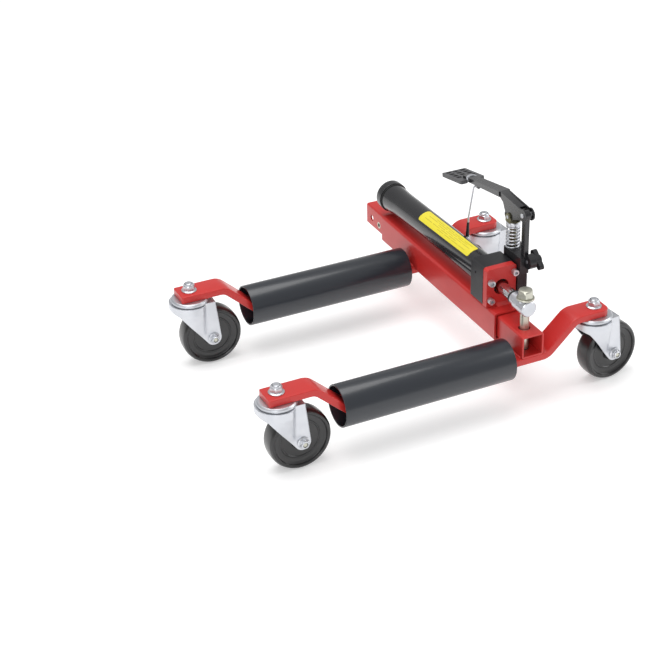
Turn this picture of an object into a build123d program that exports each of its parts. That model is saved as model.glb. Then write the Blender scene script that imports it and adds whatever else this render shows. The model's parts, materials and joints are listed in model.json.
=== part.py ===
from build123d import *
import math
import os

# Wheel dolly: two flat bars on casters carry a roller each. One bar is welded under an outer tube,
# the other under an inner tube that slides in it, and a foot-pumped pull ram draws them together.
# Millimetres, +Z up, floor at z = 0. The main tube runs along Y with the ram eye towards -Y, and the
# rollers reach out towards -X. The origin is the middle of the whole object's floor plan.

# Driving dimensions
origin_x, origin_y = 23.94, 69.25       # middle of the floor plan, from the mid point of the four kingpins
kingpin_x = 277.0                       # half the distance between a bar's two casters
bar_y = 175.0                           # half the distance between the two bars, dolly closed
bar_width, bar_thick = 40.0, 12.0
bar_low, bar_high = 82.0, 131.0         # height of the bar's middle line, in the roller and over a caster
rear_bar_drop = 0.5                     # the rear bar clears the sliding tube by this much
bar_bend = 22.0                         # bend radius on the bar's middle line
bar_end_left, bar_end_right = 297.0, 296.0
left_bend, right_bend = (-221.0, -167.0), (181.5, 234.0)

tube_x = 153.0                          # middle of the main tube
outer_size, outer_wall, outer_corner = 50.0, 3.5, 5.0
outer_front, outer_rear = -117.5, 278.0
inner_size, inner_wall, inner_corner = 39.0, 3.0, 3.5
inner_front, inner_rear = -195.0, 348.0
tube_z = 107.5                          # middle height of both tubes
pin_y, pin_z, pin_r = 300.5, 103.0, 5.9             # hollow cross pin near the sliding tube's rear end
lock_hole_y, lock_hole_z, lock_hole_r = 328.0, 105.5, 5.5

roller_z, roller_r, roller_wall = 83.0, 34.0, 2.5
roller_left, roller_right = -179.0, 117.0
bush_length, bush_inset = 14.0, 34.0
running_gap = 0.05                      # radial clearance of every turning or sliding fit

wheel_r, wheel_width = 51.0, 32.0
trail = 31.0                            # kingpin to axle, on the floor plan
fork_inside, fork_sheet = 38.0, 2.5
leg_end_r = 13.0                        # rounded end of a fork leg, round the axle
kingpin_r, axle_r, sleeve_r = 6.0, 4.0, 6.0
caster_turn = {"rear_left": -3.0, "front_left": 0.0, "front_right": 5.0, "rear_right": 2.0}

ram_z = 165.0
ram_r, piston_r, bore_r = 9.5, 13.95, 14.0
liner_r = 17.0
plate_front, plate_thick = -94.0, 12.0
plate_width, plate_top, plate_corner = 54.0, 200.0, 5.0
plate_hole_r = 13.5
block_depth = 38.0
plate_screws = ((-20.5, 12.0), (-20.5, -20.0), (22.5, 22.0), (22.5, -20.0))
screw_head_r, screw_head, screw_r = 5.25, 8.0, 3.95
bolt_y, bolt_r = -167.0, 7.5            # the upright bolt through ram eye, inner tube and front bar

lever_x = 193.5
lever_out, lever_sheet = 17.0, 2.5      # width over the lever's cheeks, and their thickness
pivot_y, pivot_z = -98.0, 284.7         # lever fulcrum
pivot_pin_r = 3.98
plunger_y, plunger_r = -58.0, 5.5
plunger_pin_z, plunger_pin_r = 266.0, 3.0
housing_top = 210.0                     # the return spring stands on this face
seat_bottom, seat_top = 250.5, 257.0
valve_y, valve_z, valve_r = -107.0, 205.5, 12.0

os.makedirs("parts", exist_ok=True)
written = []


def save(name, shape):
    moved = Pos(-origin_x, -origin_y, 0) * shape
    export_step(moved, "parts/" + name + ".step")
    written.append((name, moved))


def rod(start, axis, radius, length):
    """Round bar from a start point along an axis."""
    base = Plane(origin=start, z_dir=axis)
    return base * Cylinder(radius, length, align=(Align.CENTER, Align.CENTER, Align.MIN))


def block(x0, x1, y0, y1, z0, z1):
    """Box between two corners."""
    size = Box(x1 - x0, y1 - y0, z1 - z0)
    return Pos((x0 + x1) / 2, (y0 + y1) / 2, (z0 + z1) / 2) * size


def hexagon(start, axis, across_flats, height):
    """Six-sided prism, as a bolt head or nut."""
    base = Plane(origin=start, z_dir=axis)
    return extrude(base * RegularPolygon(across_flats / 2, 6, major_radius=False), height)


def turned(points, center=(0, 0, 0), axis=(0, 0, 1)):
    """Solid of revolution: points are (radius, height) round the axis through the centre."""
    base = Plane(origin=center, z_dir=axis)
    flat = make_face(Plane.XZ * Polyline([(r, h) for r, h in points], close=True))
    solid = revolve(flat, Axis.Z, 360)
    return base * solid


def square_tube(size, wall, corner, y0, y1):
    """Square hollow section along Y."""
    base = Plane(origin=(tube_x, y0, tube_z), x_dir=(1, 0, 0), z_dir=(0, 1, 0))
    hollow = size - 2 * wall
    ring = RectangleRounded(size, size, corner) - RectangleRounded(hollow, hollow, corner - wall + 0.5)
    return extrude(base * ring, y1 - y0)


# --- flat bars -------------------------------------------------------------------------------------
def offset_side(path, distance):
    """Corner points of a path moved sideways by a distance, mitred at each bend."""
    side = []
    for i, here in enumerate(path):
        before = path[i - 1] if i else None
        after = path[i + 1] if i + 1 < len(path) else None
        turns = []
        for a, b in ((before, here), (here, after)):
            if a and b:
                turns.append(math.atan2(b[1] - a[1], b[0] - a[0]))
        middle = sum(turns) / len(turns)
        half = (turns[-1] - turns[0]) / 2
        reach = distance / math.cos(half)
        side.append((here[0] - reach * math.sin(middle), here[1] + reach * math.cos(middle)))
    return side


def flat_bar(y, drop):
    """One Z-bent flat bar with a kingpin hole at each end."""
    low = bar_low - drop
    path = [(-bar_end_left, bar_high), (left_bend[0], bar_high), (left_bend[1], low),
            (right_bend[0], low), (right_bend[1], bar_high), (bar_end_right, bar_high)]
    half = bar_thick / 2
    upper, lower = offset_side(path, half), offset_side(path, -half)
    outline = Polyline(upper + lower[::-1], close=True)
    face = make_face(outline)
    for side, crest in ((upper, half), (lower, -half)):
        for i in (1, 2, 3, 4):
            sign = 1 if i in (1, 4) else -1
            near = face.vertices().sort_by_distance((side[i][0], side[i][1], 0))[0]
            face = fillet(near, bar_bend + sign * crest)
    base = Plane(origin=(0, y + bar_width / 2, 0), x_dir=(1, 0, 0), z_dir=(0, -1, 0))
    bar = extrude(base * face, bar_width)
    for x, corner in ((-bar_end_left, 3.0), (bar_end_right, 12.0)):
        ends = bar.edges().filter_by(Axis.Z).sort_by_distance((x, y, bar_high))[:2]
        bar = fillet(ends, corner)
    for x in (-kingpin_x, kingpin_x):
        bar -= rod((x, y, bar_high - bar_thick), (0, 0, 1), 6.3, 2 * bar_thick)
    return bar


front_bar = flat_bar(-bar_y, 0)
front_bar -= rod((tube_x, bolt_y, bar_low - bar_thick), (0, 0, 1), bolt_r + 0.5, 2 * bar_thick)
rear_bar = flat_bar(bar_y, rear_bar_drop)
save("front_bar", front_bar)
save("rear_bar", rear_bar)

# --- tubes -----------------------------------------------------------------------------------------
outer_tube = square_tube(outer_size, outer_wall, outer_corner, outer_front, outer_rear)
notch_top = bar_low - rear_bar_drop + bar_thick / 2
outer_tube -= block(tube_x - outer_size, tube_x + outer_size, bar_y - bar_width / 2, bar_y + bar_width / 2,
                    tube_z - outer_size, notch_top)
outer_tube -= rear_bar
save("outer_tube", outer_tube)

inner_tube = square_tube(inner_size, inner_wall, inner_corner, inner_front, inner_rear)
inner_left = tube_x - inner_size / 2
inner_tube -= rod((tube_x, bolt_y, tube_z - inner_size), (0, 0, 1), bolt_r + 2.0, 2 * inner_size)
inner_tube -= rod((inner_left, pin_y, pin_z), (1, 0, 0), pin_r + 0.1, inner_size)
inner_tube -= rod((inner_left, lock_hole_y, lock_hole_z), (1, 0, 0), lock_hole_r, inner_size)
save("inner_tube", inner_tube)
cross_pin = rod((inner_left, pin_y, pin_z), (1, 0, 0), pin_r, inner_size)
cross_pin -= rod((inner_left, pin_y, pin_z), (1, 0, 0), pin_r - 2.3, inner_size)
save("cross_pin", cross_pin)


# --- rollers ---------------------------------------------------------------------------------------
def roller(y, z):
    """Plain tube that turns on two bushes."""
    tube = rod((roller_left, y, z), (1, 0, 0), roller_r, roller_right - roller_left)
    tube -= rod((roller_left, y, z), (1, 0, 0), roller_r - roller_wall, roller_right - roller_left)
    return tube


def roller_bushes(y, z, bar_middle):
    """Two plastic discs fixed on the flat bar, one near each end of the roller."""
    discs = []
    for x in (roller_left + bush_inset, roller_right - bush_inset - bush_length):
        disc = rod((x, y, z), (1, 0, 0), roller_r - roller_wall - running_gap, bush_length)
        disc -= block(x - 1, x + bush_length + 1, y - bar_width / 2, y + bar_width / 2,
                      bar_middle - bar_thick / 2, bar_middle + bar_thick / 2)
        discs.append(disc)
    return Compound(children=discs)


for end, y, drop in (("front", -bar_y, 0), ("rear", bar_y, rear_bar_drop)):
    save(end + "_roller", roller(y, roller_z - drop))
    save(end + "_roller_bushes", roller_bushes(y, roller_z - drop, bar_low - drop))

# --- casters ---------------------------------------------------------------------------------------
arm_bottom = bar_high - bar_thick / 2
arm_top = bar_high + bar_thick / 2
race_r, race_sheet = 31.0, 2.5
ball_ring_r, ball_r, ball_count = 23.0, 2.0, 14
crown_top = arm_bottom - 7.0
crown_sheet, crown_r, crown_skirt = 2.5, 34.5, 9.0
fork_half = fork_inside / 2 + fork_sheet
places = {"rear_left": (-kingpin_x, bar_y), "front_left": (-kingpin_x, -bar_y),
          "front_right": (kingpin_x, -bar_y), "rear_right": (kingpin_x, bar_y)}


def upper_race(x, y):
    """Dished ring fixed under the bar end, over the balls."""
    rim_bottom = crown_top + 0.8
    under = arm_bottom - race_sheet
    return turned([(kingpin_r + 0.3, under), (kingpin_r + 0.3, arm_bottom), (race_r - 2, arm_bottom),
                   (race_r, arm_bottom - 2), (race_r, rim_bottom), (race_r - race_sheet, rim_bottom),
                   (race_r - race_sheet, under)], (x, y, 0))


def race_balls(x, y):
    """Ring of steel balls that carries the swivel."""
    balls = []
    for i in range(ball_count):
        turn = 2 * math.pi * i / ball_count
        middle = (x + ball_ring_r * math.cos(turn), y + ball_ring_r * math.sin(turn),
                  crown_top + ball_r + 0.35)
        balls.append(Pos(*middle) * Sphere(ball_r))
    return balls


def kingpin_bolt(x, y):
    """Swivel bolt, its head under the fork crown."""
    head_top = crown_top - crown_sheet - 0.4
    head_height, flats, past_nut = 7.5, 18.0, 14.5
    bolt = hexagon((x, y, head_top - head_height), (0, 0, 1), flats, head_height)
    bolt += rod((x, y, head_top - 0.1), (0, 0, 1), kingpin_r, arm_top + past_nut - head_top)
    return bolt


def kingpin_nut(x, y):
    """Flanged lock nut on top of the bar."""
    bore = kingpin_r + 0.05
    nut = turned([(bore, 0), (12.5, 0), (12.5, 1.6), (10.0, 3.6), (bore, 3.6)], (x, y, arm_top))
    body = hexagon((x, y, arm_top + 2.5), (0, 0, 1), 18, 8.0)
    body &= turned([(0, 0), (10.6, 0), (10.6, 9.4), (9.2, 10.5), (0, 10.5)], (x, y, arm_top))
    collar = rod((x, y, arm_top + 10.4), (0, 0, 1), 8.2, 2.6)
    nut += body + collar
    nut -= rod((x, y, arm_top - 1), (0, 0, 1), bore, 20)
    return nut


def fork():
    """Pressed caster fork, kingpin at the origin and the axle behind it towards +X."""
    rear = trail + 6.0
    plate = Pos(0, 0, crown_top - crown_sheet) * extrude(Circle(crown_r), crown_sheet)
    tail = block(0, rear, -fork_half, fork_half, crown_top - crown_sheet, crown_top)
    skirt = turned([(crown_r - 2.2, crown_top - crown_skirt), (crown_r, crown_top - crown_skirt),
                    (crown_r, crown_top - 1), (crown_r - 2.2, crown_top - 1)])
    body = plate + tail + skirt
    top = crown_top - 0.5
    outline = [(-27.5, top), (-27.5, crown_top - crown_skirt),
               (trail - leg_end_r * 0.82, wheel_r - leg_end_r * 0.57),
               (trail, wheel_r), (trail + leg_end_r, wheel_r), (rear, top)]
    leg_face = make_face(Polyline(outline, close=True)) + Pos(trail, wheel_r) * Circle(leg_end_r)
    for y_out in (-fork_half + fork_sheet, fork_half):
        stand = Plane(origin=(0, y_out, 0), x_dir=(1, 0, 0), z_dir=(0, -1, 0))
        body += extrude(stand * leg_face, fork_sheet)
    body += block(rear - fork_sheet, rear, -fork_half, fork_half, crown_top - 12, crown_top - 1)
    body -= rod((trail, -2 * fork_half, wheel_r), (0, 1, 0), axle_r + 0.2, 4 * fork_half)
    body -= rod((0, 0, wheel_r), (0, 0, 1), kingpin_r + running_gap, 2 * wheel_r)
    return body


def axle_bolt():
    """Wheel axle: bolt, sleeve between the fork legs, and lock nut."""
    flats = 13.0
    bolt = rod((trail, -fork_half - 1, wheel_r), (0, 1, 0), axle_r, 2 * fork_half + 9)
    bolt += rod((trail, -fork_inside / 2, wheel_r), (0, 1, 0), sleeve_r, fork_inside)
    bolt += hexagon((trail, -fork_half, wheel_r), (0, -1, 0), flats, 5.5)
    bolt += hexagon((trail, fork_half, wheel_r), (0, 1, 0), flats, 7.0)
    return bolt


def wheel():
    """Moulded wheel with a rounded tread and a shallow dish each side."""
    half = wheel_width / 2
    hub = fork_inside / 2 - 0.7
    bore = sleeve_r + running_gap
    side = [(bore, hub), (14, hub), (15.5, 10.5), (38, 9.5), (42, 12), (43, half), (46.5, half),
            (49.8, half - 3.5), (wheel_r, half - 8)]
    mirrored = [(r, -h) for r, h in side]
    section = Polyline(mirrored + side[::-1], close=True)
    solid = revolve(make_face(Plane.XZ * section), Axis.Z, 360)
    return Plane(origin=(trail, 0, wheel_r), z_dir=(0, 1, 0)) * solid


def placed(name, shape):
    """Turn a caster piece to its resting angle and set it under its kingpin."""
    x, y = places[name]
    return Pos(x, y, 0) * Rot(0, 0, caster_turn[name]) * shape


for name in places:
    save(name + "_fork", placed(name, fork()))
    save(name + "_axle", placed(name, axle_bolt()))
    save(name + "_wheel", placed(name, wheel()))

for end in ("front", "rear"):
    spots = [places[end + "_left"], places[end + "_right"]]
    save(end + "_caster_races", Compound(children=[upper_race(*s) for s in spots]))
    save(end + "_caster_balls", Compound(children=[b for s in spots for b in race_balls(*s)]))
    save(end + "_kingpin_bolts", Compound(children=[kingpin_bolt(*s) for s in spots]))
    save(end + "_kingpin_nuts", Compound(children=[kingpin_nut(*s) for s in spots]))

# --- mounting plate --------------------------------------------------------------------------------
outer_top = tube_z + outer_size / 2
plate_back = plate_front + plate_thick
plate_right = tube_x + plate_width / 2
plate = block(tube_x - plate_width / 2, plate_right, plate_front, plate_back, outer_top, plate_top)
plate = fillet(plate.edges().filter_by(Axis.Y).group_by(Axis.Z)[-1], plate_corner)
plate -= rod((tube_x, plate_front - 1, ram_z), (0, 1, 0), plate_hole_r, plate_thick + 2)
bead, bead_length = 5.0, 25.0
weld_line = Polyline([(plate_front + 0.5, outer_top), (plate_front - bead, outer_top),
                      (plate_front + 0.5, outer_top + bead)], close=True)
weld_start = Plane(origin=(tube_x - 9, 0, 0), x_dir=(0, 1, 0), z_dir=(1, 0, 0))
plate += extrude(weld_start * make_face(weld_line), bead_length)
for dx, dz in plate_screws:
    plate -= rod((tube_x + dx, plate_front - 1, ram_z + dz), (0, 1, 0), screw_r + 0.35, plate_thick + 2)
save("mounting_plate", plate)

# --- pump block ------------------------------------------------------------------------------------
block_back = plate_back + block_depth
block_left, block_right = tube_x - 27.5, tube_x + 28.0
side_left = plate_right + 1.2           # the side casting stands clear of the plate and its screw heads
side_right = lever_x + 5.0
housing_half = 11.5
lug_top = valve_z + valve_r - 1.0

pump_block = block(block_left, block_right, plate_back, block_back, outer_top + 2, plate_top - 0.5)
pump_block = fillet(pump_block.edges().filter_by(Axis.Y).group_by(Axis.Z)[-1], 3)
pump_block += block(block_right - 4, lever_x, plunger_y - 14, plunger_y + 14, 166, 190)
housing = block(lever_x - housing_half, lever_x + housing_half, plunger_y - housing_half,
                plunger_y + housing_half, 160, housing_top)
pump_block += fillet(housing.edges().filter_by(Axis.Z), 5)
lower_side = block(side_left, side_right, plate_front - 3, plunger_y - 2, 150, 184)
shoulder = lower_side.edges().filter_by(Axis.Y).sort_by_distance((side_right, plunger_y, 184))[0]
pump_block += fillet(shoulder, 8)
pump_block += block(side_left, lever_x + 3.5, valve_y + 4, plunger_y - 4, 183, lug_top - 4)
valve_left, valve_right = lever_x - 2.5, lever_x + 9.5
pump_block += rod((valve_left, valve_y, valve_z), (1, 0, 0), valve_r, valve_right - valve_left)
pump_block -= rod((tube_x, plate_back - 1, ram_z), (0, 1, 0), 13.0, 11)
pump_block -= rod((tube_x, plate_back + 9, ram_z), (0, 1, 0), bore_r + 0.5, block_depth)
pump_block -= rod((lever_x, plunger_y, 165), (0, 0, 1), plunger_r + running_gap, 60)
stem_r, stem_left = 4.0, valve_left + 5.5
pump_block -= rod((stem_left, valve_y, valve_z), (1, 0, 0), stem_r + running_gap, 20)
pump_block -= rod((valve_left - 1, valve_y, valve_z), (1, 0, 0), 3.0, 7)
for dx, dz in plate_screws:
    pump_block -= rod((tube_x + dx, plate_back - 1, ram_z + dz), (0, 1, 0), screw_r + 0.05, 19)
plug_spot = (block_left - 0.2, plunger_y, 181.0)
plug_r, plug_length = 3.5, 6.2
pump_block -= rod(plug_spot, (1, 0, 0), plug_r, plug_length + 1)
save("pump_block", pump_block)
plug = rod(plug_spot, (1, 0, 0), plug_r - 0.05, plug_length)
save("block_plug", plug - hexagon(plug_spot, (1, 0, 0), 3.5, 3))

gland = rod((tube_x, plate_back, ram_z), (0, 1, 0), 12.95, 8)
gland -= rod((tube_x, plate_back, ram_z), (0, 1, 0), ram_r + running_gap, 8)
save("ram_gland", gland)

screws = []
for dx, dz in plate_screws:
    spot = (tube_x + dx, plate_front, ram_z + dz)
    screw = rod(spot, (0, -1, 0), screw_head_r, screw_head) + rod(spot, (0, 1, 0), screw_r, 28)
    screw -= hexagon((spot[0], plate_front - screw_head, spot[2]), (0, 1, 0), 5, 4)
    screws.append(screw)
save("plate_screws", Compound(children=screws))

# --- reservoir -------------------------------------------------------------------------------------
cap_front, cap_rear, cap_r = 277.0, 297.0, 27.0
cap_neck_r, cap_groove = 22.0, 3.0
rear_z, rear_r = 162.5, 24.5
front_z, front_r = 175.0, 20.5
neck_y, neck_z, neck_r = 241.0, 164.3, 22.8
shell_skin = 2.5


def reservoir_body(skin, y0, y1):
    """Tapered tube over a straight one, both shrunk by a skin thickness."""
    sections = []
    for y, z, radius in ((y0, front_z, front_r), (neck_y, neck_z, neck_r), (y1, rear_z, rear_r)):
        station = Plane(origin=(tube_x, y, z), x_dir=(1, 0, 0), z_dir=(0, 1, 0))
        sections.append(station * Circle(radius - skin))
    lower = rod((tube_x, y0, ram_z), (0, 1, 0), front_r - skin, neck_y - 20 - y0)
    return loft(sections, ruled=True) + lower


shell = reservoir_body(0, block_back, cap_front)
shell -= reservoir_body(shell_skin, block_back + 3, cap_front + 0.01)
shell -= rod((tube_x, block_back - 1, ram_z), (0, 1, 0), liner_r + 0.05, 10)
save("reservoir_shell", shell)

cap = turned([(0, cap_front), (cap_neck_r, cap_front), (cap_neck_r, cap_front + cap_groove),
              (cap_r, cap_front + cap_groove), (cap_r, cap_rear - 5), (cap_r - 1.5, cap_rear - 1.5),
              (cap_r - 4, cap_rear), (0, cap_rear)], (tube_x, 0, rear_z), (0, 1, 0))
save("reservoir_cap", cap)
ring_in, ring_out = cap_neck_r + 0.05, 25.3
save("cap_ring", turned([(ring_in, cap_front + 0.05), (ring_out, cap_front + 0.05),
                         (ring_out, cap_front + cap_groove - 0.05), (ring_in, cap_front + cap_groove - 0.05)],
                        (tube_x, 0, rear_z), (0, 1, 0)))

liner_rear, liner_end = 266.0, 6.0
liner = rod((tube_x, block_back, ram_z), (0, 1, 0), liner_r, liner_rear - block_back)
liner -= rod((tube_x, block_back, ram_z), (0, 1, 0), bore_r, liner_rear - block_back - liner_end)
liner -= rod((tube_x, block_back, ram_z), (0, 1, 0), 3.0, liner_rear)
save("cylinder_liner", liner)

# --- ram -------------------------------------------------------------------------------------------
eye_rear, eye_step, eye_front = -134.0, -148.0, -180.0
eye_neck_r, eye_r, eye_edge = 10.8, 13.3, 1.5
socket_depth = 13.0
piston_y, piston_length = 205.0, 18.0
ram_front = eye_rear - socket_depth + 1
save("ram_rod", rod((tube_x, ram_front, ram_z), (0, 1, 0), ram_r, piston_y - ram_front))
groove_in, groove_start, groove_end = 11.0, piston_y + 6, piston_y + 11
piston = rod((tube_x, piston_y, ram_z), (0, 1, 0), piston_r, piston_length)
piston -= turned([(groove_in, groove_start), (20, groove_start), (20, groove_end), (groove_in, groove_end)],
                 (tube_x, 0, ram_z), (0, 1, 0))
save("ram_piston", piston)
save("piston_seal", turned([(groove_in + 0.05, groove_start + 0.1), (piston_r - 0.05, groove_start + 0.1),
                            (piston_r - 0.05, groove_end - 0.1), (groove_in + 0.05, groove_end - 0.1)],
                           (tube_x, 0, ram_z), (0, 1, 0)))
eye = turned([(0, -eye_rear), (eye_neck_r - eye_edge, -eye_rear), (eye_neck_r, -eye_rear + eye_edge),
              (eye_neck_r, -eye_step - 2), (eye_r, -eye_step), (eye_r, -eye_front - eye_edge),
              (eye_r - eye_edge, -eye_front), (0, -eye_front)], (tube_x, 0, ram_z), (0, -1, 0))
eye -= rod((tube_x, eye_rear + 1, ram_z), (0, -1, 0), ram_r + 0.02, socket_depth + 0.2)
eye += rod((tube_x, bolt_y, ram_z), (0, 0, 1), bolt_r + 3.0, eye_r + 0.8)
eye -= rod((tube_x, bolt_y, ram_z - 3 * eye_r), (0, 0, 1), bolt_r + 0.3, 6 * eye_r)
save("ram_eye", eye)
stop_r, stop_length = ram_r + 1.4, 2.6
save("ram_stop_ring", turned([(ram_r + 0.05, -eye_rear - stop_length), (stop_r, -eye_rear - stop_length),
                              (stop_r, -eye_rear - 0.05), (ram_r + 0.05, -eye_rear - 0.05)],
                             (tube_x, 0, ram_z), (0, -1, 0)))

washer_z, washer_r, washer_thick = ram_z + eye_r + 0.8, 14.5, 2.6
washer_in = bolt_r + 0.4
washer = rod((tube_x, bolt_y, washer_z), (0, 0, 1), washer_r, washer_thick)
save("eye_washer", washer - rod((tube_x, bolt_y, washer_z), (0, 0, 1), washer_in, washer_thick))
head_z, head_height = washer_z + washer_thick, 14.0
bar_under = bar_low - bar_thick / 2
bolt = hexagon((tube_x, bolt_y, head_z), (0, 0, 1), 22, head_height)
bolt &= turned([(0, 0), (11.4, 0), (12.7, 1.6), (12.7, 9.0), (10.4, 13.2), (8.0, head_height),
                (0, head_height)], (tube_x, bolt_y, head_z))
past_bar = 14.0
bolt += rod((tube_x, bolt_y, bar_under - past_bar), (0, 0, 1), bolt_r, head_z - bar_under + past_bar + 0.1)
save("eye_bolt", bolt)
nut_height = 11.5
nut = hexagon((tube_x, bolt_y, bar_under - nut_height), (0, 0, 1), 22, nut_height)
nut -= rod((tube_x, bolt_y, bar_under - 2 * nut_height), (0, 0, 1), bolt_r + 0.05, 3 * nut_height)
save("eye_nut", nut)

# --- pump plunger, spring and fulcrum post ---------------------------------------------------------
ear_in, ear_out, ear_half = lever_out / 2 + 0.35, lever_out / 2 + 2.8, 6.5
ear_base, base_r = seat_top + 1.0, 10.5
plunger_low = 180.0
plunger = rod((lever_x, plunger_y, plunger_low), (0, 0, 1), plunger_r, ear_base - plunger_low)
plunger += rod((lever_x, plunger_y, seat_top), (0, 0, 1), base_r, ear_base - seat_top)
for x0, x1 in ((lever_x - ear_out, lever_x - ear_in), (lever_x + ear_in, lever_x + ear_out)):
    ear = block(x0, x1, plunger_y - ear_half, plunger_y + ear_half, seat_top, plunger_pin_z)
    plunger += ear + rod((x0, plunger_y, plunger_pin_z), (1, 0, 0), ear_half, x1 - x0)
plunger -= rod((lever_x - 20, plunger_y, plunger_pin_z), (1, 0, 0), plunger_pin_r + 0.02, 40)
save("pump_plunger", plunger)
seat_r, spigot_r, spigot = 11.9, 8.4, 3.0
seat_hole = plunger_r + 0.1
seat_under = seat_top - 0.05
save("spring_seat", turned([(seat_hole, seat_bottom - spigot), (spigot_r, seat_bottom - spigot),
                            (spigot_r, seat_bottom), (seat_r, seat_bottom), (seat_r, seat_top - 1.5),
                            (seat_r - 1, seat_under), (seat_hole, seat_under)], (lever_x, plunger_y, 0)))
pin_reach = ear_out + 0.5
save("plunger_pin", rod((lever_x - pin_reach, plunger_y, plunger_pin_z), (1, 0, 0), plunger_pin_r,
                        2 * pin_reach))

coil_r, wire_r, turns = 10.35, 1.5, 6.5
coil_low, coil_high = housing_top + wire_r + 0.1, seat_bottom - wire_r - 0.1
helix = Helix(pitch=(coil_high - coil_low) / turns, height=coil_high - coil_low, radius=coil_r)
coil = sweep(Plane(origin=helix @ 0, z_dir=helix % 0) * Circle(wire_r), path=helix)
save("return_spring", Pos(lever_x, plunger_y, coil_low) * coil)

post_left, post_right = lever_x - lever_out / 2 + lever_sheet + 0.4, lever_x + 3.0
post_front, post_back, post_top_r = pivot_y - 5.0, pivot_y + 6.0, 8.0
post = block(post_left, post_right, post_front, post_back, lug_top - 4, pivot_z)
post = chamfer(post.edges().filter_by(Axis.Z), 0.8)
post += rod((post_left, pivot_y, pivot_z), (1, 0, 0), post_top_r, post_right - post_left)
post -= rod((lever_x - 20, pivot_y, pivot_z), (1, 0, 0), pivot_pin_r + running_gap, 40)
post -= rod((valve_left, valve_y, valve_z), (1, 0, 0), valve_r, valve_right - valve_left)
save("fulcrum_post", post)

# --- foot lever ------------------------------------------------------------------------------------
bend_y, bend_top = -28.0, 297.5
arm_end_y, arm_end_top = 92.0, 276.0
arm_wide, arm_narrow = (21.0, 9.0), (16.0, 7.5)      # width and thickness at the bend and at the pad
half_out = lever_out / 2
cheek_r = 10.5
slot_travel, slot_width, slot_wall = 8.0, 7.4, 2.6
lug_y, lug_z, lug_half = 56.0, 270.5, 2.0
hook_wire = 1.6


def lever_side(points, thickness, x):
    """Plate in the lever's plane, from (y, z) points."""
    base = Plane(origin=(x, 0, 0), x_dir=(0, 1, 0), z_dir=(1, 0, 0))
    return extrude(base * make_face(Polyline(points, close=True)), thickness)


def lever_slot(x, width, thickness):
    """Round-ended slot along Y in the lever's plane, where the plunger pin slides."""
    middle = (plunger_y + slot_travel / 2 - 0.1, plunger_pin_z)
    base = Plane(origin=(x, 0, 0), x_dir=(0, 1, 0), z_dir=(1, 0, 0))
    return extrude(base * (Pos(*middle) * SlotCenterToCenter(slot_travel, width)), thickness)


cheek = [(pivot_y - 7, pivot_z + 7.5), (bend_y, bend_top), (bend_y + 4, bend_top - 1), (bend_y + 2, 289),
         (-38, 283), (-45, 270), (-52, 261.5), (-60, 261.5), (pivot_y + 4, pivot_z - 9.6)]
roof = [(-82, 292.4), (bend_y, bend_top), (bend_y + 4, bend_top - 1), (bend_y + 2, bend_top - 8),
        (-30, bend_top - 5), (-82, 288.4)]
lever = lever_side(roof, lever_out, lever_x - half_out)
for x in (lever_x - half_out, lever_x + half_out - lever_sheet):
    lever += lever_side(cheek, lever_sheet, x)
    lever += rod((x, pivot_y, pivot_z), (1, 0, 0), cheek_r, lever_sheet)
    lever += lever_slot(x, slot_width + 2 * slot_wall, lever_sheet)
slope = (arm_end_top - bend_top) / (arm_end_y - bend_y)
arm_length = math.hypot(arm_end_y - bend_y, arm_end_top - bend_top)
arm_ends = []
for y, top, size in ((bend_y, bend_top, arm_wide), (arm_end_y, arm_end_top, arm_narrow)):
    station = Plane(origin=(lever_x, y, top - size[1] / 2), x_dir=(1, 0, 0), z_dir=(0, 1, slope))
    arm_ends.append(station * Rectangle(*size))
lever += loft(arm_ends)
groove_cut = Plane(origin=(lever_x, bend_y + 10, bend_top - 2.5), x_dir=(1, 0, 0), z_dir=(0, 1, slope))
lever -= extrude(groove_cut * (Pos(0, 2.5) * Rectangle(4.0, 5.0)), arm_length - 22)
lever -= rod((lever_x - 20, pivot_y, pivot_z), (1, 0, 0), pivot_pin_r + 0.02, 40)
lever -= lever_slot(lever_x - 20, slot_width, 40)
lever += lever_side([(lug_y - 5, 279), (lug_y - 4, lug_z - 4), (lug_y + 4, lug_z - 4), (lug_y + 5, 278)],
                    2 * lug_half, lever_x - lug_half)
lever -= rod((lever_x - 5, lug_y, lug_z), (1, 0, 0), hook_wire + running_gap, 10)
save("foot_lever", lever)
pin_past = 1.6
save("lever_pin", rod((lever_x - half_out - pin_past, pivot_y, pivot_z), (1, 0, 0), pivot_pin_r,
                      lever_out + 2 * pin_past))

pad_x, pad_width, pad_thick = 195.0, 45.0, 6.0
pad_front_y, pad_rear_y = 76.0, 142.0
pad_front_z, pad_rear_z = 275.0, 262.5
pad_slope = (pad_rear_z - pad_front_z) / (pad_rear_y - pad_front_y)
pad_length = math.hypot(pad_rear_y - pad_front_y, pad_rear_z - pad_front_z)
pad_plane = Plane(origin=(pad_x, (pad_front_y + pad_rear_y) / 2, (pad_front_z + pad_rear_z) / 2),
                  x_dir=(1, 0, 0), z_dir=(0, -pad_slope, 1))
pad = extrude(pad_plane * RectangleRounded(pad_width, pad_length, 3), -pad_thick)
rows, columns, row_pitch, column_pitch = 4, 3, 12.0, 13.0
hole_wide, hole_long, hole_corner = 9.0, 8.4, 1.2
for row in range(rows):
    for column in range(columns):
        u = (column - (columns - 1) / 2) * column_pitch
        v = (row - (rows - 1) / 2) * row_pitch + 8.0
        hole = Pos(u, v) * RectangleRounded(hole_wide, hole_long, hole_corner)
        pad -= extrude(pad_plane * hole, -pad_thick)
arm_gap = arm_narrow[0] / 2 + 0.7
pad -= block(lever_x - arm_gap, lever_x + arm_gap, pad_front_y - 5, arm_end_y + 0.4, 255, 290)
save("foot_pad", pad)

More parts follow.
